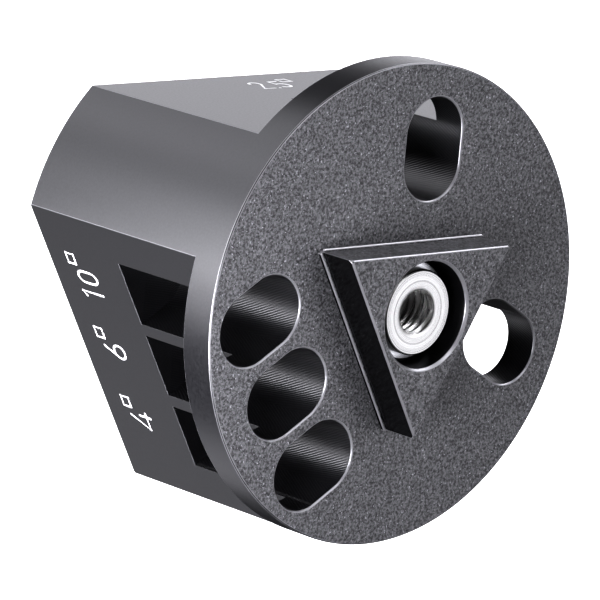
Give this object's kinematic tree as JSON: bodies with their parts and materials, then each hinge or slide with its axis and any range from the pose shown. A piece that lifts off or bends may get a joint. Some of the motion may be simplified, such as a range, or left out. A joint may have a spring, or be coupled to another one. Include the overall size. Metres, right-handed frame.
{
  "type": "crimping tool locator",
  "caption": "Turret locator for crimping pliers: a flanged block with contact slots turns and slides on a spring-loaded threaded spindle and indexes on a triangular boss.",
  "frame": {"origin": "centre of the flange's front face, on the turret axis", "axes": "-Y along the turret axis, out of the front; +Z out of the first flat, which carries one slot; +X to the right as seen from the front"},
  "size_m": [0.045, 0.0308, 0.045],
  "materials": {
    "black_anodised_aluminium": "bead-blasted, black anodised",
    "nickel_plated_steel": "turned, bright nickel plated",
    "bright_steel": "bright, turned",
    "spring_steel": "drawn wire",
    "black_oxide_steel": "black oxide"
  },
  "bodies": {
    "spindle": {"spindle_sleeve": "nickel_plated_steel", "retaining_ring": "bright_steel", "return_spring": "spring_steel", "spring_plate": "bright_steel", "cap_screw": "black_oxide_steel"},
    "slider": {"thrust_washer": "bright_steel"},
    "turret": {"turret_block": "black_anodised_aluminium"}
  },
  "joints": [
    {"name": "spindle_slide", "type": "slide", "parent": "spindle", "child": "slider", "axis": [0, 1, 0], "range_m": [0, 0.006], "stiffness_N_per_m": 2300, "springref_m": -0.0032, "deforming": ["return_spring"]},
    {"name": "turret_turn", "type": "hinge", "parent": "slider", "child": "turret", "pos_m": [0, 0, 0], "axis": [0, -1, 0], "continuous": true}
  ]
}
